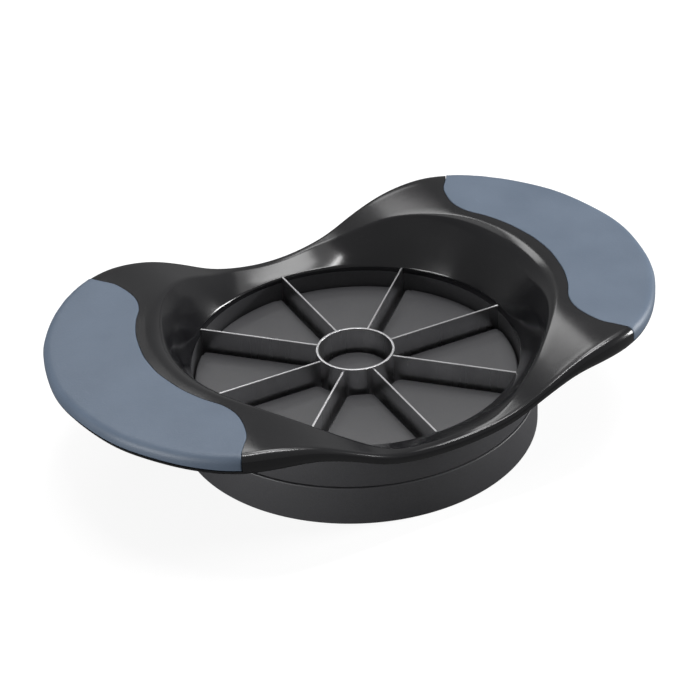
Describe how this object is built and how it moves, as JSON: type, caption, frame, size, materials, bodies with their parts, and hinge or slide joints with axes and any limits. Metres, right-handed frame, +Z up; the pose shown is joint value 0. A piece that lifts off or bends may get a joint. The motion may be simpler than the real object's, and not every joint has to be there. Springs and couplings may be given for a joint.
{
  "type": "apple_slicer",
  "caption": "Two-handled apple slicer and wedger: glossy black frame with soft grey grips, steel blades and core cutter, standing on a round push-through base",
  "frame": {"origin": "the centre of the base's underside, where it stands on the table", "axes": "X runs from wing to wing, Y across the tool, Z up out of the bore"},
  "size_m": [0.1816, 0.1156, 0.0398],
  "materials": {
    "satin_black": "fine satin texture",
    "gloss_black": "polished",
    "grip_grey": "soft touch, matt",
    "steel": "finely ground"
  },
  "bodies": {
    "base": {"push_base": "satin_black"},
    "cutter": {"blade_collar": "satin_black", "upper_frame": "gloss_black", "grip_right": "grip_grey", "grip_left": "grip_grey", "core_ring": "steel", "blade_1": "steel", "blade_2": "steel", "blade_3": "steel", "blade_4": "steel", "blade_5": "steel", "blade_6": "steel", "blade_7": "steel", "blade_8": "steel"}
  },
  "joints": [
    {"name": "press_stroke", "type": "slide", "parent": "base", "child": "cutter", "axis": [0, 0, 1], "range_m": [0, 0.095]}
  ]
}
